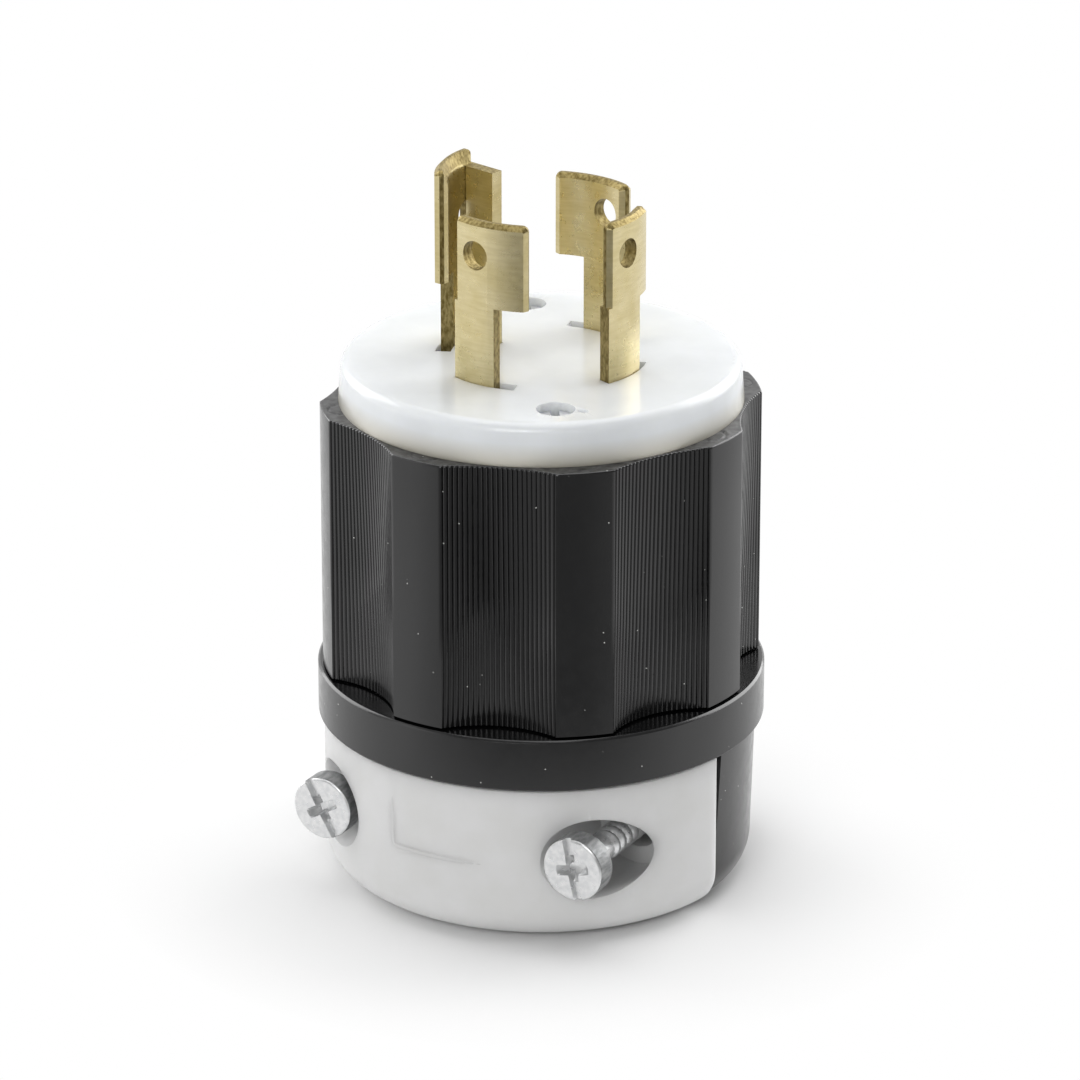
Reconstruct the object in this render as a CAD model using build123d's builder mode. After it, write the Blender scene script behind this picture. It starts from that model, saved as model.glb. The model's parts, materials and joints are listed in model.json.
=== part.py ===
"""Four-blade locking plug with a screw-on cord clamp, standing on its clamp end.

Units are millimetres. +Z runs up the plug's axis to the blade tips, the origin is
the centre of the base, and -Y points at the screw heads of the cord clamp.
Azimuths are degrees about +Z, counted from -Y towards +X.
"""
from build123d import *
from math import asin, cos, degrees, radians, sin
import os

# Heights of the stack, from the base up
clamp_height = 19.0
collar_height = 6.05
seat_gap = 0.25
grip_height = 30.65
face_height = 4.8

# Grip shell
grip_radius = 24.55
grip_wall = 4.75
grip_turn = -5.5
scallop_count = 8
land_angle = 15.0
scallop_dip_top = 0.95
scallop_dip_base = 1.95
ribs_per_scallop = 24
rib_height = 0.16
seat_width = 1.3

# Face cover
face_radius = 22.5
face_draft = 4.0
face_edge_round = 1.2
vent_circle = 18.4
vent_turn = 42.5
vent_radius = 0.55
vent_depth = 0.8
spigot_depth = 4.0
slide_fit = 0.12

# Blades
blade_radius = 11.7
blade_thickness = 1.5
hole_above_hook = 5.7
hole_radius = 1.65
tip_corner = 0.7
tip_bevel = 0.5
tail_length = 10.5
lead_in_depth = 0.6
lead_in_height = 1.8
leg_radius = 6.0
leg_drop = 1.55
hook_slack = 11.5

# Azimuths of the stem's two edges, the hook's end and the hole, then rise of the hook and reach
blade_table = {
    "line_x": (-25.3, 2.0, 21.2, -10.0, 9.0, 18.6),
    "neutral": (67.3, 95.5, 109.0, 82.6, 8.5, 18.1),
    "line_y": (148.4, 180.7, 199.7, 163.9, 8.35, 17.8),
    "ground": (-105.0, -79.5, -55.5, -97.5, 8.7, 21.6),
}

# Terminals
terminal_drop = 6.9
terminal_screw_radius = 1.9
terminal_head_radius = 3.3
terminal_head_height = 2.1
terminal_plate = 7.4
plate_thickness = 1.2
terminal_room = 2.3
terminal_tail = 1.6
thread_clearance = 0.05
screw_point = 0.45

# Terminal carrier
carrier_height = 14.2
carrier_top = 3.0
carrier_wall = 2.4
carrier_hub = 5.0

# Assembly screws, which pass from the face to the rear housing
assembly_turn = 33.5
assembly_inset = 2.5
assembly_shank = 1.3
assembly_head = 1.9
assembly_head_height = 1.9
assembly_sink = 0.9
assembly_bite = 13.0
boss_wall = 0.85

# Rear housing and cord clamp
collar_radius = 25.1
collar_chamfer = 0.25
web_thickness = 2.5
housing_spigot = 4.6
housing_wall = 2.0
clamp_radius_top = 24.15
clamp_radius_base = 23.7
jaw_radius = 24.45
base_round = 4.5
cord_radius = 9.7
tooth_height = 0.8
tooth_width = 1.3
tooth_pitch = 4.2
tooth_count = 4
clamp_wall = 2.4
saddle_wall = 2.2
base_wall = 2.8
split_offset = 2.45
split_lean = 0.7
jaw_gap = 1.4
jaw_clearance = 0.3

# Clamp screws
screw_inset = 8.25
screw_height = 11.0
jaw_drop = 0.6
screw_shank = 1.75
screw_length = 22.0
screw_head = 3.6
screw_head_height = 2.9
head_chamfer = 0.15
slot_width = 0.95
slot_depth = 0.9
cross_length = 3.6
cross_depth = 1.5
counterbore = 4.7
counterbore_floor = 3.6
pocket_wall = 1.2
screw_hole_clearance = 0.9
boss_radius = 3.3
running_fit = 0.06
head_seat_clearance = 0.3
left_stand_off = 11.25
right_stand_off = 12.65
left_slot_turn = 29.0
right_slot_turn = 12.0

# Levels and radii that follow from the sizes above
grip_bore = grip_radius - grip_wall
assembly_circle = grip_bore - assembly_inset
terminal_seat = grip_bore - terminal_room - terminal_head_height
wire_gap = terminal_seat - plate_thickness - blade_radius
collar_top = clamp_height + collar_height
grip_base = collar_top + seat_gap
grip_top = grip_base + grip_height
face_top = grip_top + face_height
face_under = grip_top - spigot_depth
carrier_base = face_under - carrier_height
blade_inner = blade_radius - blade_thickness
slot_play = degrees(slide_fit / blade_radius)
tail_base = face_under - tail_length
terminal_level = face_under - terminal_drop
web_top = clamp_height + web_thickness
spigot_radius = grip_bore - slide_fit
boss_outer = assembly_shank + boss_wall
channel_radius = cord_radius + tooth_height
screw_x = jaw_radius - screw_inset
pocket_height = screw_height - jaw_drop
jaw_split = -(split_offset + jaw_gap)
floor_y = jaw_split - counterbore_floor
leg_base = grip_top

# Reach of a cut that passes right through
far = 100.0

os.makedirs("parts", exist_ok=True)


def polar(radius, azimuth):
    """Point in plan at a radius and an azimuth counted from -Y towards +X."""
    angle = radians(azimuth)
    return Vector(radius * sin(angle), -radius * cos(angle))


def radial_plane(azimuth, radius, level):
    """Plane that faces outward at an azimuth, with its up direction along +Z."""
    foot = polar(radius, azimuth)
    out = polar(1, azimuth)
    return Plane(origin=(foot.X, foot.Y, level), x_dir=(-out.Y, out.X, 0), z_dir=(out.X, out.Y, 0))


def save(part, name):
    """Label one finished piece and write it under its own name."""
    part.label = name
    export_step(part, f"parts/{name}.step")


def sector_outline(inner, outer, first, last):
    """Lines of an annular sector, for use inside a BuildLine block."""
    middle = (first + last) / 2
    ThreePointArc(polar(outer, first), polar(outer, middle), polar(outer, last))
    Line(polar(outer, last), polar(inner, last))
    ThreePointArc(polar(inner, last), polar(inner, middle), polar(inner, first))
    Line(polar(inner, first), polar(outer, first))


def scallop_points(centre, dip):
    """Ribbed hollow between two lands: crests lie on an arc that dips below the chord."""
    half = (360 / scallop_count - land_angle) / 2
    chord_half = grip_radius * sin(radians(half))
    chord_radius = grip_radius * cos(radians(half))
    arc_radius = (chord_half ** 2 + dip ** 2) / (2 * dip)
    sweep = degrees(asin(chord_half / arc_radius))
    along = polar(1, centre + 90)
    out = polar(1, centre)
    points = []
    for step in range(2 * ribs_per_scallop + 1):
        angle = radians(sweep * (step / ribs_per_scallop - 1))
        groove = rib_height * (step % 2)
        side = (arc_radius + groove) * sin(angle)
        rise = chord_radius + arc_radius - dip - (arc_radius + groove) * cos(angle)
        points.append(along * side + out * rise)
    return points


def grip_outline(dip):
    """Closed outline of the grip: smooth lands on the circle, ribbed scallops between."""
    pitch = 360 / scallop_count
    for index in range(scallop_count):
        land = grip_turn + index * pitch
        start = polar(grip_radius, land - land_angle / 2)
        end = polar(grip_radius, land + land_angle / 2)
        ThreePointArc(start, polar(grip_radius, land), end)
        Polyline(*scallop_points(land + pitch / 2, dip))


# The inner leg of the ground blade stands on this plane, at the blade's first edge
leg_plane = radial_plane(blade_table["ground"][0], leg_radius - slide_fit, leg_base)

# Grip shell: a tube whose ribbed scallops grow deeper towards its foot
with BuildPart() as grip_shell:
    for level, dip in ((grip_base, scallop_dip_base), (grip_top, scallop_dip_top)):
        with BuildSketch(Plane.XY.offset(level)):
            with BuildLine():
                grip_outline(dip)
            make_face()
    loft(ruled=True)
    with BuildSketch(Plane.XY.offset(grip_base)):
        Circle(grip_bore)
    extrude(amount=grip_height, mode=Mode.SUBTRACT)
save(grip_shell.part, "grip_shell")

# Face cover: a round-edged disc with a spigot, slots for the blades and two screw wells
with BuildPart() as face_cover:
    with BuildSketch(Plane.XY.offset(grip_top)):
        Circle(face_radius)
    extrude(amount=face_height, taper=face_draft)
    fillet(face_cover.edges().group_by(Axis.Z)[-1], face_edge_round)
    with BuildSketch(Plane.XY.offset(face_under)):
        Circle(spigot_radius)
    extrude(amount=spigot_depth)
    for first, last, *rest in blade_table.values():
        with BuildSketch(Plane.XY.offset(face_under)):
            with BuildLine():
                sector_outline(
                    blade_inner - slide_fit,
                    blade_radius + slide_fit,
                    first - slot_play,
                    last + hook_slack,
                )
            make_face()
        extrude(amount=spigot_depth + face_height, mode=Mode.SUBTRACT)
    with BuildSketch(leg_plane):
        with Locations((blade_thickness / 2, 0)):
            Rectangle(blade_thickness + 2 * slide_fit, 2 * face_height, align=(Align.CENTER, Align.MIN))
    extrude(amount=blade_inner - leg_radius + slide_fit, mode=Mode.SUBTRACT)
    with Locations(Plane.XY.offset(face_top)):
        with PolarLocations(assembly_circle, 2, start_angle=assembly_turn - 90):
            CounterBoreHole(
                radius=assembly_shank + slide_fit,
                counter_bore_radius=assembly_head + 2 * slide_fit,
                counter_bore_depth=assembly_head_height + assembly_sink,
            )
        with Locations(polar(vent_circle, vent_turn)):
            Hole(radius=vent_radius, depth=vent_depth)
save(face_cover.part, "face_cover")


def make_blade(name):
    """Curved brass blade: hooked head, stem through the face and tail for the terminal."""
    first, last, hook, hole, rise, reach = blade_table[name]
    tip = face_top + reach
    hook_level = face_top + rise
    with BuildPart() as blade:
        with BuildSketch(Plane.XY.offset(hook_level)):
            with BuildLine():
                sector_outline(blade_inner, blade_radius, first, hook)
            make_face()
        extrude(amount=tip - hook_level)
        top_edges = blade.edges().group_by(Axis.Z)[-1]
        fillet(top_edges.filter_by(GeomType.LINE), tip_corner)
        top_edges = blade.edges().group_by(Axis.Z)[-1]
        chamfer(top_edges.filter_by(GeomType.CIRCLE), tip_bevel)
        if name == "ground":
            with BuildSketch(Plane.XZ):
                with BuildLine():
                    Polyline(
                        (blade_inner, tip - lead_in_height),
                        (blade_inner + lead_in_depth, tip),
                        (blade_inner, tip),
                        close=True,
                    )
                make_face()
            revolve(axis=Axis.Z, mode=Mode.SUBTRACT)
        with BuildSketch(Plane.XY.offset(tail_base)):
            with BuildLine():
                sector_outline(blade_inner, blade_radius, first, last)
            make_face()
        extrude(amount=hook_level - tail_base)
        with BuildSketch(radial_plane(hole, 0, hook_level + hole_above_hook)):
            Circle(hole_radius)
        extrude(amount=2 * blade_radius, mode=Mode.SUBTRACT)
        with BuildSketch(radial_plane((first + last) / 2, 0, terminal_level)):
            Circle(terminal_screw_radius + thread_clearance)
        extrude(amount=2 * blade_radius, mode=Mode.SUBTRACT)
        if name == "ground":
            with BuildSketch(radial_plane(first, leg_radius, leg_base)):
                Rectangle(blade_thickness, tip - leg_drop - leg_base, align=(Align.MIN, Align.MIN))
            extrude(amount=blade_radius - blade_thickness / 2 - leg_radius)
    return blade.part


def make_terminal_clamp(azimuth):
    """Pressure plate with two lips that guide the bare wire against the tail."""
    plane = radial_plane(azimuth, blade_radius + wire_gap, terminal_level)
    with BuildPart() as clamp:
        with BuildSketch(plane):
            Rectangle(terminal_plate, terminal_plate)
        extrude(amount=plate_thickness)
        with BuildSketch(plane):
            with GridLocations(terminal_plate - plate_thickness, 0, 2, 1):
                Rectangle(plate_thickness, terminal_plate)
        extrude(amount=-wire_gap / 2)
        with BuildSketch(plane):
            Circle(terminal_screw_radius + thread_clearance)
        extrude(amount=plate_thickness, mode=Mode.SUBTRACT)
    return clamp.part


def make_terminal_screw(azimuth):
    """Slotted screw that draws the pressure plate towards the blade's tail."""
    shank = terminal_seat - blade_inner + terminal_tail
    with BuildPart() as screw:
        with BuildSketch(radial_plane(azimuth, terminal_seat, terminal_level)):
            Circle(terminal_head_radius)
        extrude(amount=terminal_head_height)
        chamfer(screw.edges().filter_by(GeomType.CIRCLE), head_chamfer)
        with BuildSketch(radial_plane(azimuth, terminal_seat, terminal_level)):
            Circle(terminal_screw_radius)
        extrude(amount=-shank)
        with BuildSketch(
            radial_plane(azimuth, terminal_seat + terminal_head_height, terminal_level)
        ):
            Rectangle(slot_width, 2 * terminal_head_radius)
        extrude(amount=-slot_depth, mode=Mode.SUBTRACT)
    return screw.part


for circuit, (first, last, *rest) in blade_table.items():
    stem_middle = (first + last) / 2
    save(make_blade(circuit), f"blade_{circuit}")
    save(make_terminal_clamp(stem_middle), f"terminal_clamp_{circuit}")
    save(make_terminal_screw(stem_middle), f"terminal_screw_{circuit}")

# Terminal carrier: a disc on four walls that part the wiring into quarters
with BuildPart() as terminal_carrier:
    with BuildSketch(Plane.XY.offset(face_under - carrier_top)):
        Circle(spigot_radius)
    extrude(amount=carrier_top)
    with BuildSketch(Plane.XY.offset(carrier_base)):
        Circle(carrier_hub)
        with PolarLocations(0, 2, start_angle=assembly_turn):
            Rectangle(2 * assembly_circle, carrier_wall)
        with PolarLocations(0, 2, start_angle=assembly_turn - 90):
            Rectangle(2 * assembly_circle, carrier_wall)
        with PolarLocations(assembly_circle, 2, start_angle=assembly_turn - 90):
            Circle(boss_outer)
    extrude(amount=carrier_height - carrier_top)
    for first, last, *rest in blade_table.values():
        with BuildSketch(Plane.XY.offset(carrier_base)):
            with BuildLine():
                sector_outline(
                    blade_inner - slide_fit,
                    blade_radius + slide_fit,
                    first - slot_play,
                    last + slot_play,
                )
            make_face()
        extrude(amount=carrier_height, mode=Mode.SUBTRACT)
    with BuildSketch(Plane.XY.offset(carrier_base)):
        with PolarLocations(assembly_circle, 2, start_angle=assembly_turn - 90):
            Circle(assembly_shank + slide_fit)
    extrude(amount=carrier_height, mode=Mode.SUBTRACT)
save(terminal_carrier.part, "terminal_carrier")


def make_assembly_screw(azimuth):
    """Long screw from its well in the face down into the rear housing."""
    foot = polar(assembly_circle, azimuth)
    head_base = face_top - assembly_sink - assembly_head_height
    shank_base = carrier_base - assembly_bite
    with BuildPart() as screw:
        with BuildSketch(Plane.XY.offset(head_base)):
            with Locations((foot.X, foot.Y)):
                Circle(assembly_head)
        extrude(amount=assembly_head_height)
        with BuildSketch(Plane.XY.offset(head_base + assembly_head_height)):
            with Locations(Location((foot.X, foot.Y), azimuth)):
                Rectangle(slot_width, 2 * assembly_head)
        extrude(amount=-slot_depth, mode=Mode.SUBTRACT)
        with BuildSketch(Plane.XY.offset(shank_base)):
            with Locations((foot.X, foot.Y)):
                Circle(assembly_shank)
        extrude(amount=head_base - shank_base)
        chamfer(screw.edges().group_by(Axis.Z)[0], screw_point)
    return screw.part


save(make_assembly_screw(assembly_turn), "assembly_screw_front")
save(make_assembly_screw(assembly_turn + 180), "assembly_screw_rear")


def make_clamp_void(outer, boss, boss_height, base):
    """Ring-shaped hollow between the saddle and the outer wall, less the screw bosses."""
    inner = channel_radius + saddle_wall
    with BuildPart() as void:
        with BuildSketch(Plane.XZ):
            with Locations((inner, base)):
                Rectangle(outer - inner, clamp_height - base, align=(Align.MIN, Align.MIN))
        revolve(axis=Axis.Z)
        with BuildSketch(Plane.XZ):
            with Locations((0, boss_height)):
                with GridLocations(2 * screw_x, 0, 2, 1):
                    Circle(boss)
        extrude(amount=2 * outer, both=True, mode=Mode.SUBTRACT)
    return void.part


def make_clamp_cup(top_radius, base_radius, top, boss, boss_height, base):
    """Full round cup of the clamp, with a ridged cord channel, before it is split."""
    with BuildPart() as cup:
        with BuildSketch(Plane.XZ):
            with BuildLine():
                Line((0, base), (base_radius - base_round, base))
                TangentArc(
                    (base_radius - base_round, base),
                    (base_radius, base + base_round),
                    tangent=(1, 0),
                )
                Line((base_radius, base + base_round), (top_radius, top))
                Line((top_radius, top), (0, top))
                Line((0, top), (0, base))
            make_face()
        revolve(axis=Axis.Z)
        void_radius = base_radius - clamp_wall
        add(make_clamp_void(void_radius, boss, boss_height, base + base_wall), mode=Mode.SUBTRACT)
        with BuildSketch(Plane.XY.offset(base)):
            Circle(channel_radius)
        extrude(amount=clamp_height, mode=Mode.SUBTRACT)
        for index in range(tooth_count):
            with BuildSketch(Plane.XY.offset(base + (index + 0.5) * tooth_pitch)):
                Circle(channel_radius + saddle_wall / 2)
                Circle(cord_radius, mode=Mode.SUBTRACT)
            extrude(amount=tooth_width)
    return cup.part


# Rear housing: fixed half of the clamp, collar, spigot and the bosses of the long screws
with BuildPart() as rear_housing:
    add(
        make_clamp_cup(
            clamp_radius_top,
            clamp_radius_base,
            clamp_height,
            boss_radius,
            screw_height,
            0,
        )
    )
    split(
        bisect_by=Plane(
            origin=(0, -split_offset, clamp_height),
            x_dir=(1, 0, 0),
            z_dir=(0, 1, -split_lean / clamp_height),
        ),
        keep=Keep.TOP,
    )
    with BuildSketch(Plane.XY.offset(clamp_height)):
        Circle(collar_radius)
        Circle(cord_radius, mode=Mode.SUBTRACT)
    extrude(amount=collar_height)
    with BuildSketch(Plane.XY.offset(web_top)):
        Circle(spigot_radius - housing_wall)
    extrude(amount=collar_height, mode=Mode.SUBTRACT)
    outer_edges = rear_housing.edges().filter_by(GeomType.CIRCLE).sort_by(SortBy.RADIUS)[-2:]
    chamfer(outer_edges, collar_chamfer)
    with BuildSketch(Plane.XY.offset(collar_top)):
        Circle(grip_bore + seat_width)
        Circle(spigot_radius - housing_wall, mode=Mode.SUBTRACT)
    extrude(amount=seat_gap)
    with BuildSketch(Plane.XY.offset(collar_top)):
        Circle(spigot_radius)
        Circle(spigot_radius - housing_wall, mode=Mode.SUBTRACT)
    extrude(amount=housing_spigot)
    with BuildSketch(Plane.XY.offset(clamp_height)):
        with PolarLocations(assembly_circle, 2, start_angle=assembly_turn - 90):
            Circle(boss_outer)
    extrude(amount=carrier_base - clamp_height)
    with BuildSketch(Plane.XY.offset(carrier_base)):
        with PolarLocations(assembly_circle, 2, start_angle=assembly_turn - 90):
            Circle(assembly_shank + running_fit)
    extrude(amount=-assembly_bite - running_fit, mode=Mode.SUBTRACT)
    with BuildSketch(Plane.XZ.offset(far)):
        with Locations((0, screw_height)):
            with GridLocations(2 * screw_x, 0, 2, 1):
                Circle(screw_shank + running_fit)
    extrude(amount=-far - floor_y - screw_length - head_seat_clearance, mode=Mode.SUBTRACT)
save(rear_housing.part, "rear_housing")

# Clamp jaw: the loose half, with counterbores for the screw heads
with BuildPart() as clamp_jaw:
    add(
        make_clamp_cup(
            jaw_radius,
            jaw_radius,
            clamp_height - jaw_clearance,
            counterbore + pocket_wall,
            pocket_height,
            jaw_clearance,
        )
    )
    split(bisect_by=Plane.XZ.offset(-jaw_split), keep=Keep.TOP)
    with BuildSketch(Plane.XZ.offset(-floor_y)):
        with Locations((0, pocket_height)):
            with GridLocations(2 * screw_x, 0, 2, 1):
                Circle(counterbore)
    extrude(amount=far, mode=Mode.SUBTRACT)
    with BuildSketch(Plane.XZ):
        with Locations((0, pocket_height)):
            with GridLocations(2 * screw_x, 0, 2, 1):
                Circle(screw_shank + screw_hole_clearance)
    extrude(amount=far, mode=Mode.SUBTRACT)
save(clamp_jaw.part, "clamp_jaw")


def make_clamp_screw(side, stand_off, slot_turn):
    """Cylinder-headed screw with a slot and a cross recess, backed out of the clamp."""
    seat_y = floor_y - stand_off
    face_y = seat_y - screw_head_height
    centre = (side * screw_x, screw_height)
    with BuildPart() as screw:
        with BuildSketch(Plane.XZ.offset(-seat_y)):
            with Locations(centre):
                Circle(screw_head)
        extrude(amount=screw_head_height)
        chamfer(screw.edges().group_by(Axis.Y)[0], head_chamfer)
        with BuildSketch(Plane.XZ.offset(-seat_y)):
            with Locations(centre):
                Circle(screw_shank)
        extrude(amount=-screw_length)
        chamfer(screw.edges().group_by(Axis.Y)[-1], screw_point)
        with BuildSketch(Plane.XZ.offset(-face_y)):
            with Locations(Location(centre, slot_turn)):
                Rectangle(slot_width, 2 * screw_head)
        extrude(amount=-slot_depth, mode=Mode.SUBTRACT)
        with BuildSketch(Plane.XZ.offset(-face_y)):
            with Locations(Location(centre, slot_turn)):
                Rectangle(cross_length, slot_width)
                Rectangle(slot_width, cross_length)
        extrude(amount=-cross_depth, mode=Mode.SUBTRACT)
    return screw.part


save(make_clamp_screw(-1, left_stand_off, left_slot_turn), "clamp_screw_left")
save(make_clamp_screw(1, right_stand_off, right_slot_turn), "clamp_screw_right")
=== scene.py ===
"""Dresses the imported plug: finishes, small forms, a pale studio and the photo's camera.

Sizes in this file are millimetres until a mesh is made. +Z is the plug's axis, -Y the side
of the clamp screws, and azimuths are degrees from -Y towards +X, as in the part's source.
"""
import json
import math

import bmesh
import bpy
import numpy as np
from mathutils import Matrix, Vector


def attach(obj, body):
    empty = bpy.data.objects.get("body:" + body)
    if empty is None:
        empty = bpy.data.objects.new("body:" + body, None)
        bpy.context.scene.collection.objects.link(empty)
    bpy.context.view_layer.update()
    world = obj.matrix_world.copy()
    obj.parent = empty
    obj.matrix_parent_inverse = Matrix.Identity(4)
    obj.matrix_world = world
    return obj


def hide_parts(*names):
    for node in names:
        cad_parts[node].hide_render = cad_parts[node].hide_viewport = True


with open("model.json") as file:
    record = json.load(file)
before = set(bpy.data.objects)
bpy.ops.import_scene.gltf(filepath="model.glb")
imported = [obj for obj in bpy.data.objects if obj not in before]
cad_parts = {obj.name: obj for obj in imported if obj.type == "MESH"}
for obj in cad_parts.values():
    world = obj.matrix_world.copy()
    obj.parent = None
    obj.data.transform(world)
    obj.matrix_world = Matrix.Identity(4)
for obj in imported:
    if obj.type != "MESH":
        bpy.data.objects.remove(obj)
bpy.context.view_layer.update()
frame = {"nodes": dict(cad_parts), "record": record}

# A millimetre in metres, and in mm the gaps and the edges short enough to close up in a mesh
MM = 0.001
MERGE = 0.002
NEEDLE = 0.001

# Camera, from the fit to the photo
VIEW_AZIMUTH = 28.3
CAMERA_DISTANCE = 650.0
CAMERA_HEIGHT = 294.1
CAMERA_PITCH = 21.444
CAMERA_YAW = 0.0125
CAMERA_NEAR = 10.0
FOCAL_PIXELS = 6250.0
PHOTO_PIXELS = 1080.0
SENSOR = 36.0

# Grip shell, as in the part's source
GRIP_BASE = 25.3
GRIP_TOP = 55.95
GRIP_RADIUS = 24.55
GRIP_BORE = 19.8
GRIP_TURN = -5.5
SCALLOPS = 8
LAND = 15.0
DIP_TOP = 0.95
DIP_BASE = 1.95
RIBS = 24
RIB_DEPTH = 0.12
GROOVE_SHARE = 0.25
RIM_ROUND = 0.22

# Ejector marks on the grip's rim: fine round grooves
MARK_CIRCLE = 22.3
MARK_RADIUS = 1.6
MARK_DEPTH = 0.16
MARK_WIDTH = 0.16

# Clamp screws, as in the part's source, with a rolled thread and a drive recess
SCREW_HEIGHT = 11.0
SCREW_X = 16.2
SCREW_HEAD = 3.6
SCREW_HEAD_HEIGHT = 2.9
SCREW_EDGE = 0.28
SCREW_NECK = 1.5
SCREW_LENGTH = 22.0
SCREW_SEAT = -7.45
PLAIN_NECK = 4.0
THREAD_PITCH = 1.44
THREAD_CREST = 1.78
THREAD_ROOT = 1.4
THREAD_STEPS = 14
THREAD_ROUND = 0.6
TIP_SHARE = 0.6
SLOT_WIDTH = 0.9
SLOT_DEPTH = 0.6
CROSS_REACH = 2.0
CROSS_DEPTH = 1.4
CROSS_WIDTH = 1.0
CROSS_RAMP = 1.0
RECESS_SLOPE = 0.14

# Clamp jaw, and the faint border moulded on it: steps along it, then in its own heights how
# far its sides dive, how deep its underside lies and how far its worn part sinks
JAW_RADIUS = 24.45
BORDER_STEPS = 240
BORDER_DIVE = 5
BORDER_KEEL = 6
BORDER_WORN = 4

# Softened edges and the angles past which an edge stays sharp
MOULDED_EDGE = 0.15
COVER_EDGE = 0.12
STAMPED_EDGE = 0.12
SKIN_CREASE = 40.0

# Where a finish or a painted shade changes on a piece: lengths, then heights of a normal and cosines
SCUFFED_FROM = 54.95
SCUFF_SOFT = 0.1
BLADE_INNER = 10.1
FOOT_SHADE_HEIGHT = 2.6
BARREL_SLACK = 0.04
RIM_UP = 0.8
COINED_AND_SHADED_UP = 0.2
UP_SOFT = 0.1
SIDE_ON = 0.3
FACE_ON = 0.8

# Noise mostly lies between these, and a speck is solid over this share of its radius
NOISE_LOW = 0.35
NOISE_HIGH = 0.65
SPECK_CORE = 0.6

# Light of the room: what lights the object, and what gloss sees towards the camera
ROOM_LIGHT = 0.2
DARK_ROOM = 0.28
DARK_FLOOR = 0.3

# Cosines from straight behind and straight ahead between which the room and the floor change
ROOM_SWEEP = (-0.1, 0.35)
FLOOR_SWEEP = (0.45, 0.95)

# Distances from the axis over which the paper gives way to white, and gloss sees it dimmed
PAPER_FADE = (25.0, 50.0)
DIM_FADE = (55.0, 85.0)
FLOOR_REACH = 3000.0


def linear(hex_colour):
    """Linear RGBA of an sRGB hex colour."""
    value = [int(hex_colour[i:i + 2], 16) / 255 for i in (1, 3, 5)]
    return tuple(c / 12.92 if c <= 0.04045 else ((c + 0.055) / 1.055) ** 2.4 for c in value) + (1.0,)


# Meshes

def skin(name, points, material, body, replaced=(), crease=35.0):
    """Piece from rows of points [row, round, xyz] in mm: each row is a closed loop, and the
    last row joins the first. Repeated points are merged, so poles close."""
    rows, around = points.shape[:2]
    index = np.arange(rows * around).reshape(rows, around)
    below = np.roll(index, -1, axis=0)
    quads = np.stack([index, np.roll(index, -1, axis=1), np.roll(below, -1, axis=1), below], axis=-1)
    mesh = bpy.data.meshes.new(name)
    mesh.from_pydata((points.reshape(-1, 3) * MM).tolist(), [], quads.reshape(-1, 4).tolist())
    settle(name, mesh, material, body, replaced, crease)


def settle(name, mesh, material, body, replaced, crease, bevel=0.0):
    work = bmesh.new()
    work.from_mesh(mesh)
    bmesh.ops.remove_doubles(work, verts=work.verts, dist=MERGE * MM)
    bmesh.ops.dissolve_degenerate(work, edges=work.edges, dist=NEEDLE * MM)
    bmesh.ops.recalc_face_normals(work, faces=work.faces)
    work.to_mesh(mesh)
    work.free()
    mesh.shade_smooth()
    mesh.set_sharp_from_angle(angle=math.radians(crease))
    mesh.materials.clear()
    mesh.materials.append(material)
    piece = bpy.data.objects.new(name, mesh)
    bpy.context.scene.collection.objects.link(piece)
    if bevel:
        edge = piece.modifiers.new("worn_edge", "BEVEL")
        edge.width = bevel * MM
        edge.segments = 2
        edge.limit_method = "ANGLE"
        edge.angle_limit = math.radians(crease)
        even = piece.modifiers.new("even_shading", "WEIGHTED_NORMAL")
        even.keep_sharp = True
    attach(piece, body)
    if replaced:
        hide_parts(*replaced)


def dressed(node, name, material, body, bevel, crease=30.0):
    """Merged copy of a CAD node with softened edges, which stands for the node."""
    mesh = frame["nodes"][node].data.copy()
    settle(name, mesh, material, body, (node,), crease, bevel)


def turned(radius, azimuth):
    """Points in plan at a radius and at azimuths."""
    angle = np.radians(azimuth)
    return radius * np.stack([np.sin(angle), -np.cos(angle)], axis=-1)


def grip_outline(dip, land_samples=20):
    """Plan outline of the grip: lands on the circle, and between them arcs that sag below
    their chord by dip, with a V groove in the middle of each rib's pitch."""
    half = math.radians((360 / SCALLOPS - LAND) / 2)
    chord_half = GRIP_RADIUS * math.sin(half)
    chord_radius = GRIP_RADIUS * math.cos(half)
    arc = (chord_half ** 2 + dip ** 2) / (2 * dip)
    sweep = math.asin(chord_half / arc)
    phase = np.array([0.0, 0.5 - GROOVE_SHARE, 0.5, 0.5 + GROOVE_SHARE])
    t = 2 * (np.arange(RIBS)[:, None] + phase).ravel() / RIBS - 1
    radius = arc + np.tile(RIB_DEPTH * (phase == 0.5), RIBS)
    side = radius * np.sin(sweep * t)
    rise = chord_radius + arc - dip - radius * np.cos(sweep * t)
    land = np.radians(np.linspace(-LAND / 2, LAND / 2, land_samples, endpoint=False))
    polar_r = np.concatenate([np.full(land_samples, GRIP_RADIUS), np.hypot(side, rise)])
    polar_a = np.concatenate([land, np.arctan2(side, rise) + math.radians(180 / SCALLOPS)])
    step = np.radians(GRIP_TURN + np.arange(SCALLOPS) * 360 / SCALLOPS)
    a = (polar_a[None, :] + step[:, None]).ravel()
    r = np.tile(polar_r, SCALLOPS)
    return np.stack([r * np.sin(a), -r * np.cos(a)], axis=-1)


def inset(outline, amount):
    """Outline moved towards the axis by an amount."""
    length = np.linalg.norm(outline, axis=-1, keepdims=True)
    return outline * (1 - amount / length)


def at_height(outline, z):
    """Plan outline as points at a height."""
    return np.concatenate([outline, np.broadcast_to(z, (len(outline),))[:, None]], axis=-1)


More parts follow.
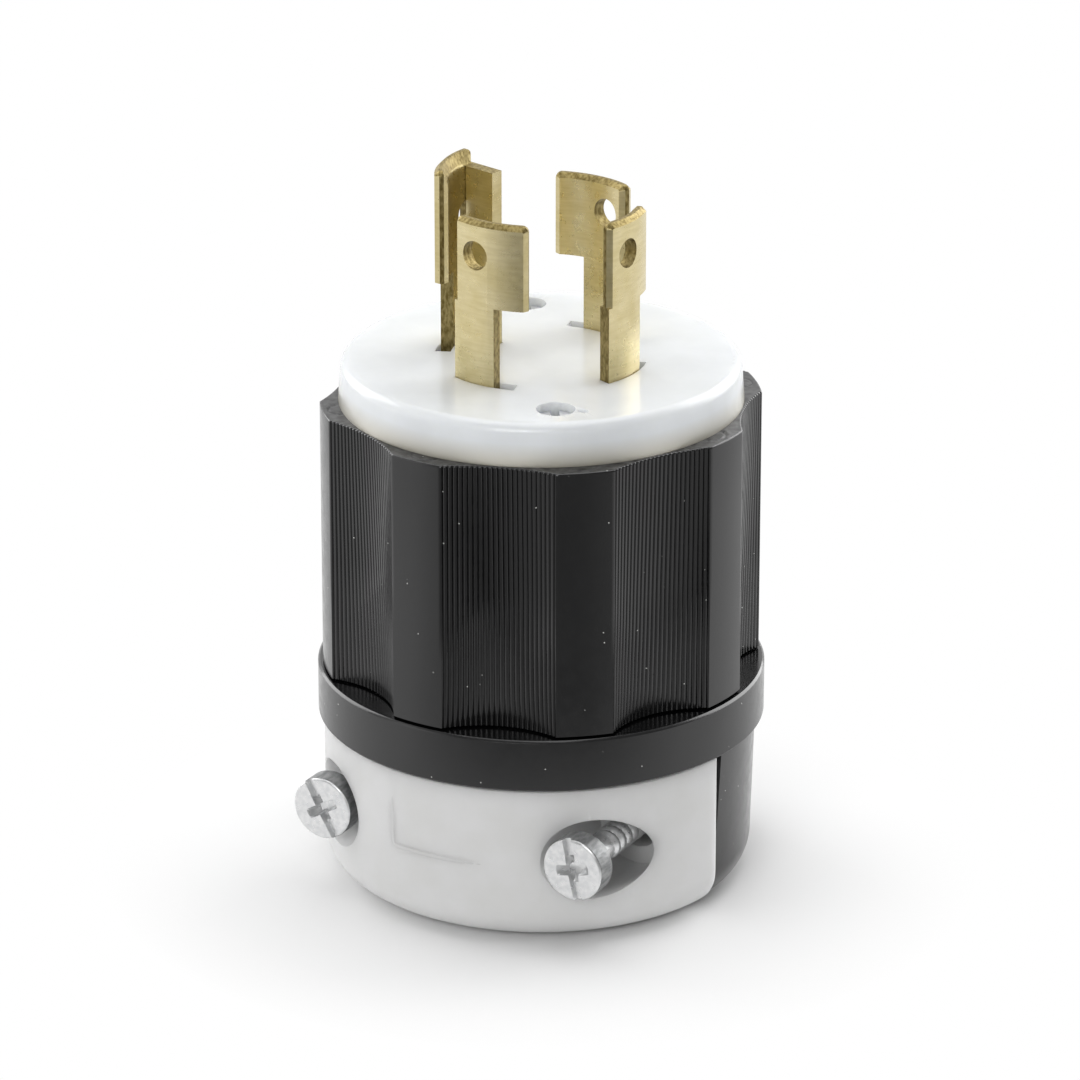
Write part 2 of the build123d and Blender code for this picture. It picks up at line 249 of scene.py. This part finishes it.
def grip_body(wall_rows=5, round_rows=5, rim_rows=46):
    """Wall ruled from the foot's outline to the top's, rounded into the rim, across to the
    bore and down inside; the rim has a fine round groove on each land."""
    foot, top = grip_outline(DIP_BASE), grip_outline(DIP_TOP)
    rows = []
    for share in np.linspace(0, 1, wall_rows):
        z = GRIP_BASE + (GRIP_TOP - RIM_ROUND - GRIP_BASE) * share
        rows.append(at_height(foot + (top - foot) * share, z))
    for angle in np.linspace(0, np.pi / 2, round_rows)[1:]:
        ring = inset(top, RIM_ROUND * (1 - np.cos(angle)))
        rows.append(at_height(ring, GRIP_TOP - RIM_ROUND * (1 - np.sin(angle))))
    outer = inset(top, RIM_ROUND)
    inner = GRIP_BORE * outer / np.linalg.norm(outer, axis=-1, keepdims=True)
    marks = turned(MARK_CIRCLE, GRIP_TURN + np.arange(SCALLOPS) * 360 / SCALLOPS)
    for share in np.linspace(0, 1, rim_rows)[1:]:
        ring = outer + (inner - outer) * share
        far = np.linalg.norm(ring[:, None, :] - marks[None], axis=-1).min(axis=1)
        sunk = MARK_DEPTH * np.clip(1 - np.abs(far - MARK_RADIUS) / MARK_WIDTH, 0, 1)
        rows.append(at_height(ring, GRIP_TOP - sunk * (share < 1)))
    rows.append(at_height(inner, GRIP_BASE))
    return np.stack(rows)


def drive_recess(x, z, turn):
    """Depth below the head's face at (x, z) of a slot with sloping walls, and of a cross with
    straight arms whose floor ramps up to their ends."""
    angle = math.radians(turn)
    u = x * math.cos(angle) + z * math.sin(angle)
    v = -x * math.sin(angle) + z * math.cos(angle)

    def groove(across, width):
        return np.clip((width / 2 - np.abs(across)) / RECESS_SLOPE + 0.5, 0, 1)

    ramp = np.clip((CROSS_REACH - np.hypot(u, v)) / CROSS_RAMP, 0, 1)
    cross = CROSS_DEPTH * ramp * np.maximum(groove(u, CROSS_WIDTH), groove(v, CROSS_WIDTH))
    return np.maximum(SLOT_DEPTH * groove(u, SLOT_WIDTH), cross)


def clamp_screw(side, stand_off, turn, around=288, face_rings=72, edge_rings=5):
    """One closed skin about the screw's axis: the face with its recess, the barrel, the
    plain neck, then a helical thread with rounded crests and narrow roots."""
    angle = np.linspace(0, 2 * np.pi, around, endpoint=False)
    seat = SCREW_SEAT - stand_off
    face = seat - SCREW_HEAD_HEIGHT
    rings, depths = [], []
    for r in np.linspace(0, SCREW_HEAD - SCREW_EDGE, face_rings):
        rings.append(np.full(around, r))
        depths.append(face + drive_recess(r * np.cos(angle), r * np.sin(angle), turn))
    for bend in np.linspace(0, np.pi / 2, edge_rings)[1:]:
        r = SCREW_HEAD - SCREW_EDGE * (1 - np.sin(bend))
        sunk = face + drive_recess(r * np.cos(angle), r * np.sin(angle), turn)
        rings.append(np.full(around, r))
        depths.append(np.maximum(face + SCREW_EDGE * (1 - np.cos(bend)), sunk))
    for r, y in ((SCREW_HEAD, seat - SCREW_EDGE), (SCREW_HEAD - SCREW_EDGE, seat),
                 (SCREW_NECK + SCREW_EDGE, seat), (SCREW_NECK, seat + SCREW_EDGE),
                 (SCREW_NECK, seat + PLAIN_NECK)):
        rings.append(np.full(around, r))
        depths.append(np.full(around, y))
    tip = seat + SCREW_LENGTH
    for y in np.arange(seat + PLAIN_NECK, tip - THREAD_PITCH / 2, THREAD_PITCH / THREAD_STEPS)[1:]:
        phase = (y / THREAD_PITCH + angle / (2 * np.pi)) % 1
        full = THREAD_ROOT + (THREAD_CREST - THREAD_ROOT) * np.sin(np.pi * phase) ** THREAD_ROUND
        ease = min(1.0, (y - seat - PLAIN_NECK) / (THREAD_PITCH / 2))
        rings.append(SCREW_NECK + (full - SCREW_NECK) * ease)
        depths.append(np.full(around, y))
    for r in (THREAD_ROOT * TIP_SHARE, 0.0):
        rings.append(np.full(around, r))
        depths.append(np.full(around, tip))
    r, y = np.stack(rings), np.stack(depths)
    return np.stack([side * SCREW_X + r * np.cos(angle), y, SCREW_HEIGHT + r * np.sin(angle)], axis=-1)


def panel_rim(first=-14.0, last=17.5, low=9.7, high=16.6, corner=0.7, half_width=0.5, height=0.012):
    """Low rib, its crest a parabola that dives below the jaw's outer face on both sides,
    carried at even steps round a rounded rectangle on that face; it sinks below the face
    along the top and the right, where the mould is worn."""
    half_s = math.radians(last - first) * JAW_RADIUS / 2
    half_z = (high - low) / 2
    bend = np.linspace(0, np.pi / 2, 9)[None, :] + np.arange(4)[:, None] * np.pi / 2
    centre_s = (half_s - corner) * np.array([1, -1, -1, 1])[:, None]
    centre_z = (half_z - corner) * np.array([1, 1, -1, -1])[:, None]
    s = (centre_s + corner * np.cos(bend)).ravel()
    z = (centre_z + corner * np.sin(bend)).ravel()
    s, z = np.append(s, s[0]), np.append(z, z[0])
    run = np.concatenate([[0], np.cumsum(np.hypot(np.diff(s), np.diff(z)))])
    even = np.linspace(0, run[-1], BORDER_STEPS, endpoint=False)
    s, z = np.interp(even, run, s), np.interp(even, run, z)
    ds, dz = np.roll(s, -1) - np.roll(s, 1), np.roll(z, -1) - np.roll(z, 1)
    length = np.hypot(ds, dz)
    worn = np.clip(0.5 + z / (2 * half_z) + s / (2 * half_s), 0, 1)
    crest = np.linspace(-1, 1, 11)
    rise = np.concatenate([1 - BORDER_DIVE * crest ** 2, np.full(3, -BORDER_KEEL)])[:, None]
    across = half_width * np.concatenate([crest, [0.8, 0, -0.8]])[:, None]
    lift = height * (rise - BORDER_WORN * worn)
    azimuth = math.radians((first + last) / 2) + (s + across * dz / length) / JAW_RADIUS
    radius = JAW_RADIUS + lift
    level = (low + high) / 2 + z - across * ds / length
    return np.stack([radius * np.sin(azimuth), -radius * np.cos(azimuth), level], axis=-1)


# Materials

def add(tree, kind, *inputs, out=0, **settings):
    """Adds one node and gives one of its outputs: inputs are pairs of a socket and a value or
    a link, settings its properties."""
    made = tree.nodes.new(kind)
    for key, value in settings.items():
        setattr(made, key, value)
    for socket, value in inputs:
        if isinstance(value, bpy.types.NodeSocket):
            tree.links.new(value, made.inputs[socket])
        else:
            made.inputs[socket].default_value = value
    return made.outputs[out] if made.outputs else None


# Sockets of a Mix node, and its settings when it mixes colours
SHARE, VALUE_A, VALUE_B, COLOUR_A, COLOUR_B = 0, 2, 3, 6, 7
MIX_COLOURS = {"out": 2, "data_type": "RGBA"}


def new_material(name, *constants):
    """Material with one Principled shader, its constants set on its own sockets."""
    material = bpy.data.materials.new(name)
    material.use_nodes = True
    shader = material.node_tree.nodes["Principled BSDF"]
    for socket, value in constants:
        shader.inputs[socket].default_value = value
    return material, material.node_tree, shader


def finish_with(tree, shader, colour, roughness, height, relief_mm):
    """Feeds a colour, a roughness and a relief, whose height runs from 0 to 1, to a shader."""
    normal = add(tree, "ShaderNodeBump", ("Height", height), ("Strength", 1.0),
                 ("Distance", relief_mm * MM))
    for socket, source in (("Base Color", colour), ("Roughness", roughness), ("Normal", normal)):
        tree.links.new(source, shader.inputs[socket])


def per_mm(size_mm):
    """Texture scale that makes one cell size_mm wide."""
    return 1.0 / (size_mm * MM)


def patches(tree, size_mm, low=0.0, high=1.0, stretch=(1, 1, 1)):
    """Value that drifts from low to high in patches size_mm wide, divided along x, y and z
    by stretch."""
    place = add(tree, "ShaderNodeTexCoord", out="Object")
    place = add(tree, "ShaderNodeMapping", ("Vector", place), ("Scale", stretch))
    drift = add(tree, "ShaderNodeTexNoise", ("Vector", place), ("Scale", per_mm(size_mm)),
                ("Detail", 3.0))
    return add(tree, "ShaderNodeMapRange", ("Value", drift), ("From Min", NOISE_LOW),
               ("From Max", NOISE_HIGH), ("To Min", low), ("To Max", high))


def specks(tree, cell_mm, radius_mm, share):
    """Small round specks: the cores of a share of random cells."""
    place = add(tree, "ShaderNodeTexCoord", out="Object")
    cells = add(tree, "ShaderNodeTexVoronoi", ("Vector", place), ("Scale", per_mm(cell_mm))).node
    near = add(tree, "ShaderNodeMapRange", ("Value", cells.outputs["Distance"]),
               ("From Min", SPECK_CORE * radius_mm / cell_mm), ("From Max", radius_mm / cell_mm),
               ("To Min", 1.0), ("To Max", 0.0))
    chosen = add(tree, "ShaderNodeSeparateColor", ("Color", cells.outputs["Color"]))
    kept = add(tree, "ShaderNodeMath", (0, chosen), (1, 1 - share), operation="GREATER_THAN")
    return add(tree, "ShaderNodeMath", (0, near), (1, kept), operation="MULTIPLY")


def above(tree, height_mm, soft_mm):
    """Share that rises from 0 to 1 over soft_mm above a height."""
    place = add(tree, "ShaderNodeTexCoord", out="Object")
    level = add(tree, "ShaderNodeSeparateXYZ", (0, place), out="Z")
    return add(tree, "ShaderNodeMapRange", ("Value", level), ("From Min", height_mm * MM),
               ("From Max", (height_mm + soft_mm) * MM))


def upward(tree, least):
    """Share of a surface that faces up by more than a least height of its normal."""
    facing = add(tree, "ShaderNodeTexCoord", out="Normal")
    rise = add(tree, "ShaderNodeSeparateXYZ", (0, facing), out="Z")
    return add(tree, "ShaderNodeMapRange", ("Value", rise), ("From Min", least),
               ("From Max", least + UP_SOFT))


def black_moulded_nylon():
    """Black nylon 6 from a spark-eroded mould: soft gloss and a little pale dust, with the
    grip's rim scuffed grey where it slides past a receptacle. The IOR is a little above the
    1.53 of nylon, for the sheen of the real one. The mould's grain, about 0.03 mm wide, is
    drawn 0.25 mm wide so that it shows."""
    material, tree, shader = new_material("black_moulded_nylon", ("IOR", 1.6))
    base = add(tree, "ShaderNodeMix", (SHARE, patches(tree, 9.0)), (COLOUR_A, linear("#060607")),
               (COLOUR_B, linear("#0c0c0d")), **MIX_COLOURS)
    high = above(tree, SCUFFED_FROM, SCUFF_SOFT)
    rim = add(tree, "ShaderNodeMath", (0, high), (1, upward(tree, RIM_UP)), operation="MULTIPLY")
    scuffs = add(tree, "ShaderNodeMath", (0, rim), (1, patches(tree, 0.9)), operation="MULTIPLY")
    worn = add(tree, "ShaderNodeMix", (SHARE, scuffs), (COLOUR_A, base),
               (COLOUR_B, linear("#4a4a4a")), **MIX_COLOURS)
    dust = specks(tree, cell_mm=1.6, radius_mm=0.09, share=0.5)
    colour = add(tree, "ShaderNodeMix", (SHARE, dust), (COLOUR_A, worn),
                 (COLOUR_B, linear("#d4d4d0")), **MIX_COLOURS)
    satin = patches(tree, 1.3, low=0.16, high=0.24)
    roughness = add(tree, "ShaderNodeMix", (SHARE, rim), (VALUE_A, satin), (VALUE_B, 0.4))
    finish_with(tree, shader, colour, roughness, patches(tree, 0.25), relief_mm=0.0015)
    return material


def white_moulded_nylon():
    """Natural white nylon, moulded: light sinks in a few millimetres, which gives a cool milky look.
    Near the foot of the cover the colour turns darker and warmer, which is painted shade. The
    faint waviness of its face is 0.8 mm wide."""
    material, tree, shader = new_material(
        "white_moulded_nylon", ("IOR", 1.53), ("Subsurface Weight", 0.6), ("Subsurface Scale", 0.003),
        ("Subsurface Radius", (1.0, 1.0, 1.1)))
    cloudy = add(tree, "ShaderNodeMix", (SHARE, patches(tree, 6.0)), (COLOUR_A, linear("#e0e3e5")),
                 (COLOUR_B, linear("#e6e9eb")), **MIX_COLOURS)
    # Darker, warmer colour over the lowest millimetres of the cover: painted shade
    colour = add(tree, "ShaderNodeMix", (SHARE, above(tree, GRIP_TOP, FOOT_SHADE_HEIGHT)),
                 (COLOUR_A, linear("#cfcabb")), (COLOUR_B, cloudy), **MIX_COLOURS)
    roughness = patches(tree, 2.0, low=0.17, high=0.24)
    finish_with(tree, shader, colour, roughness, patches(tree, 0.8), relief_mm=0.0006)
    return material


def grey_moulded_nylon(name="grey_moulded_nylon", scatter=0.8, dark="#dededd", light="#e2e2e2"):
    """Light grey nylon with a satin mould finish, which light enters and scatters in; a share
    of scatter of nought, with darker colours, suits forms too thin to scatter by themselves.
    The mould's grain, about 0.05 mm wide, is drawn 0.35 mm wide so that it shows."""
    material, tree, shader = new_material(
        name, ("IOR", 1.53), ("Subsurface Weight", scatter), ("Subsurface Scale", 0.004),
        ("Subsurface Radius", (1.0, 1.0, 1.0)))
    colour = add(tree, "ShaderNodeMix", (SHARE, patches(tree, 5.0)), (COLOUR_A, linear(dark)),
                 (COLOUR_B, linear(light)), **MIX_COLOURS)
    roughness = patches(tree, 1.2, low=0.40, high=0.50)
    finish_with(tree, shader, colour, roughness, patches(tree, 0.35), relief_mm=0.001)
    return material


def rolled_brass():
    """Half-hard brass strip, blanked in a press: faint rolling lines run round the strip, and the
    coined ends and the edges cut by the press are rough and streaked. Their darker colour is
    painted shade on the up-facing ends, and the duller cut metal on the sides. Lines and streaks,
    about 0.02 mm wide, are drawn 0.3 mm wide so that they show."""
    material, tree, shader = new_material("rolled_brass", ("Metallic", 1.0))
    lines = patches(tree, 0.3, stretch=(0.12, 0.12, 1.0))
    face = add(tree, "ShaderNodeMix", (SHARE, patches(tree, 2.5)), (COLOUR_A, linear("#d2c494")),
               (COLOUR_B, linear("#dccfa4")), **MIX_COLOURS)
    faint = add(tree, "ShaderNodeMath", (0, lines), (1, 0.2), operation="MULTIPLY")
    face = add(tree, "ShaderNodeMix", (SHARE, faint), (COLOUR_A, face),
               (COLOUR_B, linear("#a3925c")), **MIX_COLOURS)
    stains = specks(tree, cell_mm=0.55, radius_mm=0.06, share=0.08)
    face = add(tree, "ShaderNodeMix", (SHARE, stains), (COLOUR_A, face),
               (COLOUR_B, linear("#7a6a3a")), **MIX_COLOURS)
    # The sides of a blade: outside its inner leg, and square to the way out from the axis
    place = add(tree, "ShaderNodeTexCoord").node
    flat = add(tree, "ShaderNodeVectorMath", (0, place.outputs["Object"]), (1, (1, 1, 0)),
               operation="MULTIPLY")
    radius = add(tree, "ShaderNodeVectorMath", (0, flat), out="Value", operation="LENGTH")
    outside = add(tree, "ShaderNodeMath", (0, radius), (1, BLADE_INNER * MM),
                  operation="GREATER_THAN")
    out = add(tree, "ShaderNodeVectorMath", (0, flat), operation="NORMALIZE")
    facing = add(tree, "ShaderNodeVectorMath", (0, out), (1, place.outputs["Normal"]), out="Value",
                 operation="DOT_PRODUCT")
    square = add(tree, "ShaderNodeMath", (0, facing), operation="ABSOLUTE")
    side = add(tree, "ShaderNodeMapRange", ("Value", square), ("From Min", SIDE_ON),
               ("From Max", FACE_ON), ("To Min", 1.0), ("To Max", 0.0))
    side = add(tree, "ShaderNodeMath", (0, side), (1, outside), operation="MULTIPLY")
    # The darker colour is painted shade on the up-facing ends, and the duller cut metal on the sides
    sheared_and_shaded = add(tree, "ShaderNodeMath", (0, side), (1, upward(tree, COINED_AND_SHADED_UP)), operation="MAXIMUM")
    grain = patches(tree, 0.3, stretch=(1, 1, 0.45))
    edge = add(tree, "ShaderNodeMix", (SHARE, grain), (COLOUR_A, linear("#6e5f36")),
               (COLOUR_B, linear("#a09162")), **MIX_COLOURS)
    colour = add(tree, "ShaderNodeMix", (SHARE, sheared_and_shaded), (COLOUR_A, face), (COLOUR_B, edge),
                 **MIX_COLOURS)
    rolled = patches(tree, 0.8, low=0.26, high=0.34)
    roughness = add(tree, "ShaderNodeMix", (SHARE, sheared_and_shaded), (VALUE_A, rolled), (VALUE_B, 0.5))
    height = add(tree, "ShaderNodeMix", (SHARE, sheared_and_shaded), (VALUE_A, faint), (VALUE_B, grain))
    finish_with(tree, shader, colour, roughness, height, relief_mm=0.004)
    return material


def zinc_plated_steel():
    """Bright zinc on a headed steel screw: cool pale metal, faintly clouded. The side of the clamp
    screws' heads, which the heading die leaves rough, is rougher, and its darker grey is painted
    shade. The coat's crystals, about 0.02 mm wide, are drawn 0.25 mm wide so that they show."""
    material, tree, shader = new_material("zinc_plated_steel", ("Metallic", 1.0))
    # The distance from either clamp screw's axis tells the side of its head
    place = add(tree, "ShaderNodeTexCoord", out="Object")
    mirrored = add(tree, "ShaderNodeVectorMath", (0, place), operation="ABSOLUTE")
    axis = (SCREW_X * MM, 0, SCREW_HEIGHT * MM)
    across = add(tree, "ShaderNodeVectorMath", (0, mirrored), (1, axis), operation="SUBTRACT")
    across = add(tree, "ShaderNodeVectorMath", (0, across), (1, (1, 0, 1)), operation="MULTIPLY")
    radius = add(tree, "ShaderNodeVectorMath", (0, across), out="Value", operation="LENGTH")
    rough_shaded_barrel = add(tree, "ShaderNodeMath", (0, radius), (1, SCREW_HEAD * MM), (2, BARREL_SLACK * MM),
               operation="COMPARE")
    face = add(tree, "ShaderNodeMix", (SHARE, patches(tree, 0.7)), (COLOUR_A, linear("#d6d7d8")),
               (COLOUR_B, linear("#e6e6e6")), **MIX_COLOURS)
    drawn = patches(tree, 0.5, stretch=(1, 0.3, 1))
    # Darker grey on the side of the heads: painted shade
    side = add(tree, "ShaderNodeMix", (SHARE, drawn), (COLOUR_A, linear("#777879")),
               (COLOUR_B, linear("#9d9e9e")), **MIX_COLOURS)
    colour = add(tree, "ShaderNodeMix", (SHARE, rough_shaded_barrel), (COLOUR_A, face), (COLOUR_B, side),
                 **MIX_COLOURS)
    bright = patches(tree, 0.5, low=0.27, high=0.37)
    roughness = add(tree, "ShaderNodeMix", (SHARE, rough_shaded_barrel), (VALUE_A, bright), (VALUE_B, 0.5))
    finish_with(tree, shader, colour, roughness, patches(tree, 0.25), relief_mm=0.002)
    return material


def green_dyed_zinc():
    """Green dyed zinc plating of the ground terminal's screw: half metal, half dye to the eye."""
    material, tree, shader = new_material("green_dyed_zinc", ("Metallic", 0.7))
    colour = add(tree, "ShaderNodeMix", (SHARE, patches(tree, 1.1)), (COLOUR_A, linear("#2c7a45")),
                 (COLOUR_B, linear("#3b9257")), **MIX_COLOURS)
    roughness = patches(tree, 0.5, low=0.3, high=0.4)
    finish_with(tree, shader, colour, roughness, patches(tree, 0.25), relief_mm=0.002)
    return material


finish = {
    "black_nylon": black_moulded_nylon(),
    "face_nylon": white_moulded_nylon(),
    "grey_nylon": grey_moulded_nylon(),
    "blade_brass": rolled_brass(),
    "zinc_steel": zinc_plated_steel(),
    "green_screw": green_dyed_zinc(),
}
slot_of = {row["node"]: row["material_slot"] for row in frame["record"]["subparts"]}
for node, item in frame["nodes"].items():
    item.data.materials.clear()
    item.data.materials.append(finish[slot_of[node]])

# Pieces

skin("grip_moulding", grip_body(), finish["black_nylon"], "root", ("grip_shell",),
     SKIN_CREASE)
skin("screw_skin_left", clamp_screw(side=-1, stand_off=11.25, turn=29.0), finish["zinc_steel"],
     "left_screw", ("clamp_screw_left",), SKIN_CREASE)
skin("screw_skin_right", clamp_screw(side=1, stand_off=12.65, turn=12.0), finish["zinc_steel"],
     "right_screw", ("clamp_screw_right",), SKIN_CREASE)
thin_nylon = grey_moulded_nylon("thin_grey_nylon", 0.0, "#cececd", "#d2d2d2")
skin("jaw_panel_rim", panel_rim(), thin_nylon, "jaw")
dressed("rear_housing", "housing_moulding", finish["black_nylon"], "root", MOULDED_EDGE)
dressed("clamp_jaw", "jaw_moulding", finish["grey_nylon"], "jaw", MOULDED_EDGE)
dressed("face_cover", "face_moulding", finish["face_nylon"], "root", COVER_EDGE)
for name in ("line_x", "neutral", "line_y", "ground"):
    dressed(f"blade_{name}", f"stamped_blade_{name}", finish["blade_brass"], "root",
            STAMPED_EDGE)

# Studio

aim = math.radians(VIEW_AZIMUTH)
ASIDE = np.array([math.cos(aim), math.sin(aim), 0.0])
TOWARD = np.array([math.sin(aim), -math.cos(aim), 0.0])


def place(side, toward, up):
    """Point in metres, given in mm to the image's right, towards the camera and up."""
    return Vector(((ASIDE * side + TOWARD * toward + np.array([0, 0, up])) * MM).tolist())


def softbox(name, spot, target, width, height, watts):
    """Rectangular lamp at a spot, turned to a target; sizes in mm."""
    lamp = bpy.data.lights.new(name, "AREA")
    lamp.shape = "RECTANGLE"
    lamp.size = width * MM
    lamp.size_y = height * MM
    lamp.energy = watts
    holder = bpy.data.objects.new(name, lamp)
    holder.location = place(*spot)
    holder.rotation_euler = (place(*target) - holder.location).to_track_quat("-Z", "Y").to_euler()
    bpy.context.scene.collection.objects.link(holder)


# Each lamp's spot and target, to the right, towards the camera and up, its width and height,
# all in mm, and its watts
softbox("left_softbox", (-420, 120, 240), (0, 0, 40), 240, 420, 0.3)
softbox("back_left_softbox", (-380, -280, 240), (0, 0, 40), 300, 420, 1.2)
softbox("back_right_softbox", (380, -300, 260), (0, 0, 40), 460, 460, 2.4)
softbox("top_softbox", (0, 0, 620), (0, 0, 0), 460, 460, 1.2)
softbox("top_back_softbox", (0, -320, 560), (0, 0, 0), 460, 360, 0.45)
softbox("front_fill", (-170, 590, 320), (0, 0, 30), 300, 260, 1.25)

camera = bpy.data.cameras.new("photo_camera")
camera.sensor_width = SENSOR
camera.lens = FOCAL_PIXELS * SENSOR / PHOTO_PIXELS
camera.clip_start = CAMERA_NEAR * MM
holder = bpy.data.objects.new("photo_camera", camera)
holder.location = place(0, CAMERA_DISTANCE, CAMERA_HEIGHT)
holder.rotation_euler = (math.radians(90 - CAMERA_PITCH), 0, aim + math.radians(CAMERA_YAW))
bpy.context.scene.collection.objects.link(holder)
bpy.context.scene.camera = holder


def ray_shares(tree):
    """Whether a ray comes from the camera, and whether it comes off gloss or through a clear
    piece, as 0 or 1."""
    path = add(tree, "ShaderNodeLightPath").node
    mirrored = add(tree, "ShaderNodeMath", (0, path.outputs["Is Glossy Ray"]),
                   (1, path.outputs["Is Transmission Ray"]), operation="MAXIMUM")
    return path.outputs["Is Camera Ray"], mirrored


# The room is white to the camera; gloss sees it pale behind the object and dim in front
world = bpy.data.worlds.new("pale_room")
bpy.context.scene.world = world
world.use_nodes = True
room = world.node_tree
room.nodes.clear()
direct, mirrored = ray_shares(room)
heading = add(room, "ShaderNodeTexCoord", out="Generated")
behind = add(room, "ShaderNodeVectorMath", (0, heading), (1, tuple(-TOWARD)), out="Value",
             operation="DOT_PRODUCT")
sweep = add(room, "ShaderNodeMapRange", ("Value", behind), ("From Min", ROOM_SWEEP[0]),
            ("From Max", ROOM_SWEEP[1]), ("To Min", DARK_ROOM), ("To Max", 1.0))
level = add(room, "ShaderNodeMix", (SHARE, mirrored), (VALUE_A, ROOM_LIGHT), (VALUE_B, sweep))
level = add(room, "ShaderNodeMix", (SHARE, direct), (VALUE_A, level), (VALUE_B, 1.0))
glow = add(room, "ShaderNodeBackground", ("Color", (1, 1, 1, 1)), ("Strength", level))
add(room, "ShaderNodeOutputWorld", ("Surface", glow))

# The floor keeps the object's shadow near it, and further out is white to the camera and pale
# to gloss, dimmer towards the camera
floor_mesh = bpy.data.meshes.new("studio_floor")
reach = FLOOR_REACH * MM
floor_mesh.from_pydata([(-reach, -reach, 0), (reach, -reach, 0), (reach, reach, 0), (-reach, reach, 0)],
                       [], [(0, 1, 2, 3)])
floor = bpy.data.objects.new("studio_floor", floor_mesh)
bpy.context.scene.collection.objects.link(floor)
paper_floor = bpy.data.materials.new("pale_paper_floor")
paper_floor.use_nodes = True
tree = paper_floor.node_tree
tree.nodes.clear()
direct, mirrored = ray_shares(tree)
spot = add(tree, "ShaderNodeTexCoord", out="Object")
away = add(tree, "ShaderNodeVectorMath", (0, spot), out="Value", operation="LENGTH")
course = add(tree, "ShaderNodeVectorMath", (0, spot), operation="NORMALIZE")
front = add(tree, "ShaderNodeVectorMath", (0, course), (1, tuple(TOWARD)), out="Value",
            operation="DOT_PRODUCT")
far_off = add(tree, "ShaderNodeMapRange", ("Value", away), ("From Min", DIM_FADE[0] * MM),
              ("From Max", DIM_FADE[1] * MM))
dimmed = add(tree, "ShaderNodeMapRange", ("Value", front), ("From Min", FLOOR_SWEEP[0]),
             ("From Max", FLOOR_SWEEP[1]), ("To Min", 1.0), ("To Max", DARK_FLOOR))
dimmed = add(tree, "ShaderNodeMix", (SHARE, far_off), (VALUE_A, 1.0), (VALUE_B, dimmed))
strength = add(tree, "ShaderNodeMath", (0, direct), (1, dimmed), operation="MAXIMUM")
seen = add(tree, "ShaderNodeMath", (0, direct), (1, mirrored), operation="MAXIMUM")
fade = add(tree, "ShaderNodeMapRange", ("Value", away), ("From Min", PAPER_FADE[0] * MM),
           ("From Max", PAPER_FADE[1] * MM))
share = add(tree, "ShaderNodeMath", (0, fade), (1, seen), operation="MULTIPLY")
paper = add(tree, "ShaderNodeBsdfDiffuse", ("Color", linear("#f4f4f4")))
glow = add(tree, "ShaderNodeEmission", ("Color", (1, 1, 1, 1)), ("Strength", strength))
surface = add(tree, "ShaderNodeMixShader", (0, share), (1, paper), (2, glow))
add(tree, "ShaderNodeOutputMaterial", ("Surface", surface))
# The white further out is for eyes and gloss only, so it isn't sampled as a lamp
paper_floor.cycles.emission_sampling = "NONE"
floor_mesh.materials.append(paper_floor)

bpy.context.scene.view_settings.view_transform = "Standard"
